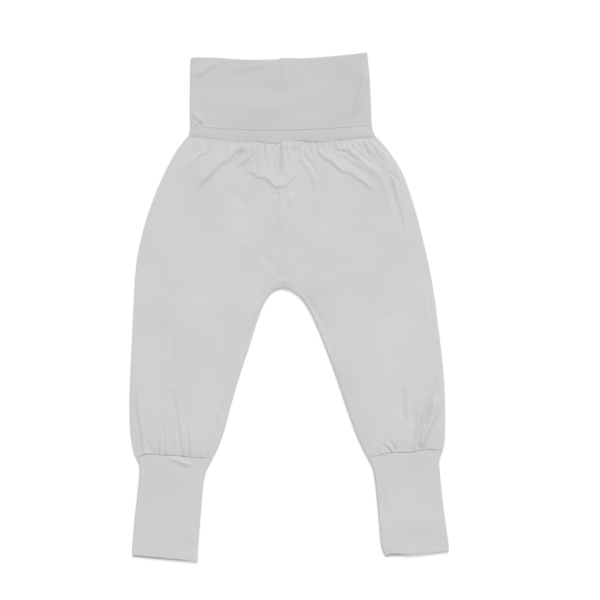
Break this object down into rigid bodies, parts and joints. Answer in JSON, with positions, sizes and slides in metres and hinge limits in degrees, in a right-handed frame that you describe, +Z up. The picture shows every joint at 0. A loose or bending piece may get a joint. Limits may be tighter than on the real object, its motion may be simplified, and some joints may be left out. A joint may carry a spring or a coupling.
{
  "type": "harem pants",
  "caption": "Baby harem pants laid flat, with a tall fold-over waistband, full gathered legs and long cuffs.",
  "frame": {"origin": "middle of the box in X and Y, on the surface that the pants lie on", "axes": "+Z up from that surface, +Y from the cuffs towards the waist, +X towards the wearer's left leg; the front of the pants faces up"},
  "size_m": [0.3188, 0.5088, 0.0059],
  "materials": {
    "jersey": "matte single jersey knit",
    "double_jersey": "matte jersey knit folded double"
  },
  "bodies": {
    "root": {"waistband": "double_jersey", "waist_casing": "double_jersey", "leg_right": "jersey", "leg_left": "jersey", "cuff_right": "double_jersey", "cuff_left": "double_jersey"}
  },
  "joints": []
}
